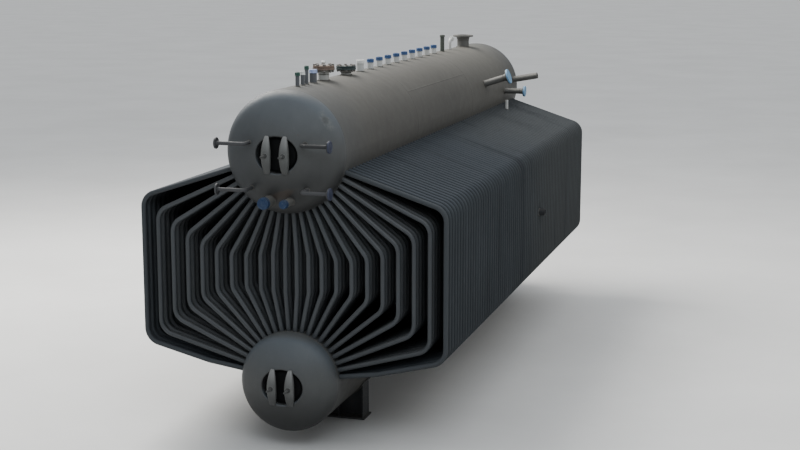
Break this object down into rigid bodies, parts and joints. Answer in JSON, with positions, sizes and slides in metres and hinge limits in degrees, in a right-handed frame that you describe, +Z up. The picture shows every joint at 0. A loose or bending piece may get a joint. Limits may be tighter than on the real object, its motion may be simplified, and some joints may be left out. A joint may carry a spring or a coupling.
{
  "type": "water-tube boiler pressure part",
  "caption": "Bare double-drum water-tube boiler pressure part: steam drum over mud drum, fans of bent tubes between them, tube side walls, capped nozzles and saddles.",
  "frame": {"origin": "on the floor under the middle of the whole length and width", "axes": "+X across to the right seen from the front, +Y along the drums away from the gauge end, +Z up"},
  "size_m": [3.4276, 8.812, 3.899],
  "materials": {
    "drum_paint": "matt grey primer, dusty and slightly warm",
    "head_paint": "matt grey primer, cooler grey",
    "tube_paint": "dark grey primer on drawn tube",
    "wall_paint": "dark grey primer on welded tube wall",
    "cover_paint": "dark primer in the recess",
    "yoke_steel": "light grey forged steel",
    "nozzle_paint": "light grey primer",
    "blue_cap": "blue moulded protection cap",
    "pale_blue_cap": "faded pale blue protection cover",
    "dark_blank": "dark green-grey cover",
    "primer_plate": "brownish primed plate",
    "saddle_paint": "dark grey primer, scuffed"
  },
  "bodies": {
    "root": {"steam_drum_shell": "drum_paint", "steam_drum_front_head": "head_paint", "steam_drum_rear_head": "head_paint", "front_manhole_cover": "cover_paint", "front_manhole_yokes": "yoke_steel", "rear_manhole_cover": "cover_paint", "rear_manhole_yokes": "yoke_steel", "mud_drum_shell": "drum_paint", "mud_drum_front_head": "head_paint", "mud_drum_rear_head": "head_paint", "mud_front_manhole_cover": "cover_paint", "mud_front_manhole_yokes": "yoke_steel", "mud_rear_manhole_cover": "cover_paint", "mud_rear_manhole_yokes": "yoke_steel", "right_side_wall": "wall_paint", "left_side_wall": "wall_paint", "right_outer_tubes": "tube_paint", "left_outer_tubes": "tube_paint", "right_inner_tubes": "tube_paint", "left_inner_tubes": "tube_paint", "level_gauge_nozzles": "nozzle_paint", "gauge_flange_covers": "pale_blue_cap", "head_feed_stubs": "nozzle_paint", "head_stub_caps": "blue_cap", "vent_stubs": "nozzle_paint", "vent_caps": "dark_blank", "safety_valve_nozzle": "nozzle_paint", "safety_valve_blank": "primer_plate", "low_nozzle": "nozzle_paint", "low_nozzle_blank": "dark_blank", "riser_stubs": "nozzle_paint", "riser_caps": "blue_cap", "gauge_post": "nozzle_paint", "bleed_pipe": "nozzle_paint", "steam_outlet": "nozzle_paint", "side_inlet_nozzles": "nozzle_paint", "side_inlet_covers": "pale_blue_cap", "open_side_inlet": "nozzle_paint", "roof_stub": "nozzle_paint", "wall_stubs": "nozzle_paint", "blowdown_stub": "nozzle_paint", "front_saddle": "saddle_paint", "rear_saddle": "saddle_paint"}
  },
  "joints": []
}
